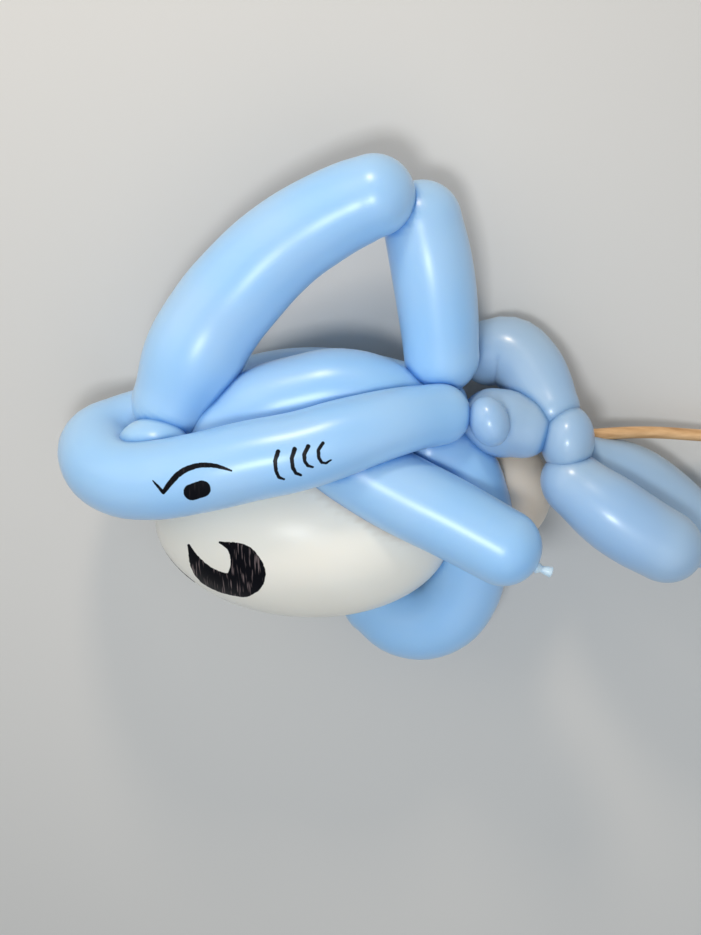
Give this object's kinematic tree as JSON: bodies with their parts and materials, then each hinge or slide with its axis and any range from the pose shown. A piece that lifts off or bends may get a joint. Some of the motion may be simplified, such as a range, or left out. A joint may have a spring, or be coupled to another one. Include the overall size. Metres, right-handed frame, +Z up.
{
  "type": "balloon shark",
  "caption": "Twisted-balloon shark with a looped nose, a tall open dorsal fin, side fins, a white belly and a forked tail, lying on its side with its wooden stick.",
  "frame": {"origin": "on the table, below the middle of the bounding box", "axes": "+Z up from the table, +X along the body from nose to tail, +Y toward the tip of the dorsal fin"},
  "size_m": [0.553, 0.3454, 0.1508],
  "materials": {
    "blue_latex": "light blue inflated latex, smooth and glossy, slightly see-through",
    "white_latex": "off-white inflated latex, smooth and satin glossy",
    "stick_wood": "plain tan wooden stick, lightly rounded ends"
  },
  "bodies": {
    "root": {"head_balloon": "blue_latex", "tail_balloon": "blue_latex", "belly_balloon": "white_latex", "stick": "stick_wood"}
  },
  "joints": []
}
